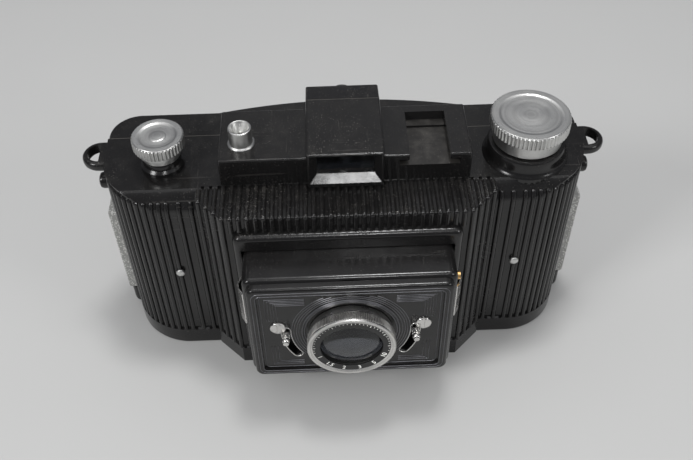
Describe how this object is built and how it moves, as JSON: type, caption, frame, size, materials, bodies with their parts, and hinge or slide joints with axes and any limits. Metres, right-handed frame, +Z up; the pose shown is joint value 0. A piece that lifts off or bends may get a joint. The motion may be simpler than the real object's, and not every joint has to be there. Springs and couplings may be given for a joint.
{
  "type": "roll-film camera",
  "caption": "Black moulded roll-film camera with a draw-out lens box, knurled winding knob, raised deck with finder hood and accessory shoe, and a lift-off back.",
  "frame": {"origin": "middle of the base, on the plane of the two spool axes", "axes": "+X to the right of the front view along the width, -Y out of the front through the lens, +Z up"},
  "size_m": [0.17, 0.0821, 0.0898],
  "materials": {
    "bakelite": "gloss black moulded, worn",
    "inner_black": "matt black",
    "turned_metal": "turned, bare",
    "plated": "bright plated",
    "spring_steel": "plain steel",
    "lacquered": "black lacquer",
    "brass": "bare brass",
    "lens_glass": "coated glass",
    "red_glass": "red window"
  },
  "bodies": {
    "body": {"front_body": "bakelite", "top_deck": "bakelite", "finder_hood": "bakelite", "finder_front_lens": "lens_glass", "finder_eye_ring": "inner_black", "finder_rear_lens": "lens_glass", "winding_boss": "bakelite", "supply_collar": "bakelite", "film_gate": "inner_black", "tripod_bush": "brass", "wing_rivets": "turned_metal", "tension_springs": "spring_steel", "button_ring": "turned_metal", "floor_pivots": "spring_steel", "latch_rivets": "turned_metal", "end_rivets": "turned_metal", "release_spring": "spring_steel"},
    "winding": {"winding_knob": "turned_metal", "winding_shaft": "turned_metal"},
    "take_up": {"take_up_spool": "lacquered"},
    "supply_pin_body": {"supply_pin": "spring_steel"},
    "supply_knob_body": {"supply_knob": "turned_metal"},
    "release": {"release_button": "turned_metal", "release_rod": "spring_steel"},
    "roller_left_body": {"roller_left": "plated"},
    "roller_right_body": {"roller_right": "plated"},
    "box": {"lens_box": "bakelite", "box_baffle": "inner_black", "face_plate": "bakelite", "plate_screws": "plated", "lens_barrel": "plated", "rear_lens": "lens_glass", "shutter_plate": "spring_steel", "blade_pivot": "brass", "box_clip_left": "plated", "box_clip_right": "plated", "side_pin": "brass"},
    "blade": {"shutter_blade": "spring_steel"},
    "aperture": {"aperture_lever": "plated"},
    "time": {"time_lever": "plated"},
    "focus": {"focus_ring": "plated", "mark_ring": "lacquered", "front_lens": "lens_glass"},
    "latch_left_body": {"latch_left": "turned_metal"},
    "latch_right_body": {"latch_right": "turned_metal"},
    "back": {"back_cover": "bakelite", "pressure_plate": "lacquered", "pressure_springs": "spring_steel", "red_windows": "red_glass", "window_rails": "turned_metal"},
    "window": {"window_cover": "turned_metal"}
  },
  "joints": [
    {"name": "winding_turn", "type": "hinge", "parent": "body", "child": "winding", "pos_m": [0.058, 0, 0.08], "axis": [0, 0, 1], "continuous": true},
    {"name": "take_up_turn", "type": "hinge", "parent": "body", "child": "take_up", "pos_m": [0.058, 0, 0.036], "axis": [0, 0, 1], "continuous": true},
    {"name": "supply_lift", "type": "slide", "parent": "body", "child": "supply_pin_body", "axis": [0, 0, 1], "range_m": [0, 0.006]},
    {"name": "supply_turn", "type": "hinge", "parent": "supply_pin_body", "child": "supply_knob_body", "pos_m": [-0.058, 0, 0.08], "axis": [0, 0, 1], "continuous": true},
    {"name": "release_press", "type": "slide", "parent": "body", "child": "release", "axis": [0, 0, -1], "range_m": [0, 0.0035], "stiffness_N_per_m": 200, "springref_m": -0.003, "deforming": ["release_spring"]},
    {"name": "roller_left_turn", "type": "hinge", "parent": "body", "child": "roller_left_body", "pos_m": [-0.0476, 0.0106, 0.036], "axis": [0, 0, 1], "continuous": true},
    {"name": "roller_right_turn", "type": "hinge", "parent": "body", "child": "roller_right_body", "pos_m": [0.0476, 0.0106, 0.036], "axis": [0, 0, 1], "continuous": true},
    {"name": "box_draw", "type": "slide", "parent": "body", "child": "box", "axis": [0, -1, 0], "range_m": [0, 0.024]},
    {"name": "blade_turn", "type": "hinge", "parent": "box", "child": "blade", "pos_m": [-0.013, -0.0347, 0.0445], "axis": [0, 1, 0], "range_deg": [0, 60]},
    {"name": "aperture_move", "type": "hinge", "parent": "box", "child": "aperture", "pos_m": [0, -0.0392, 0.0375], "axis": [0, -1, 0], "range_deg": [0, 30]},
    {"name": "time_move", "type": "hinge", "parent": "box", "child": "time", "pos_m": [0, -0.0397, 0.0375], "axis": [0, 1, 0], "range_deg": [0, 30]},
    {"name": "focus_turn", "type": "hinge", "parent": "box", "child": "focus", "pos_m": [0, -0.046, 0.0375], "axis": [0, -1, 0], "range_deg": [0, 270]},
    {"name": "latch_left_lift", "type": "slide", "parent": "body", "child": "latch_left_body", "axis": [0, 0, 1], "range_m": [0, 0.004]},
    {"name": "latch_right_lift", "type": "slide", "parent": "body", "child": "latch_right_body", "axis": [0, 0, 1], "range_m": [0, 0.004]},
    {"name": "back_lift_off", "type": "slide", "parent": "body", "child": "back", "axis": [0, 1, 0], "range_m": [0, 0.06]},
    {"name": "window_slide", "type": "slide", "parent": "back", "child": "window", "axis": [1, 0, 0], "range_m": [0, 0.011]}
  ],
  "couplings": [
    {"joint": "take_up_turn", "follows": "winding_turn", "ratio": 1},
    {"joint": "blade_turn", "follows": "release_press", "rad_per_m": 299}
  ]
}
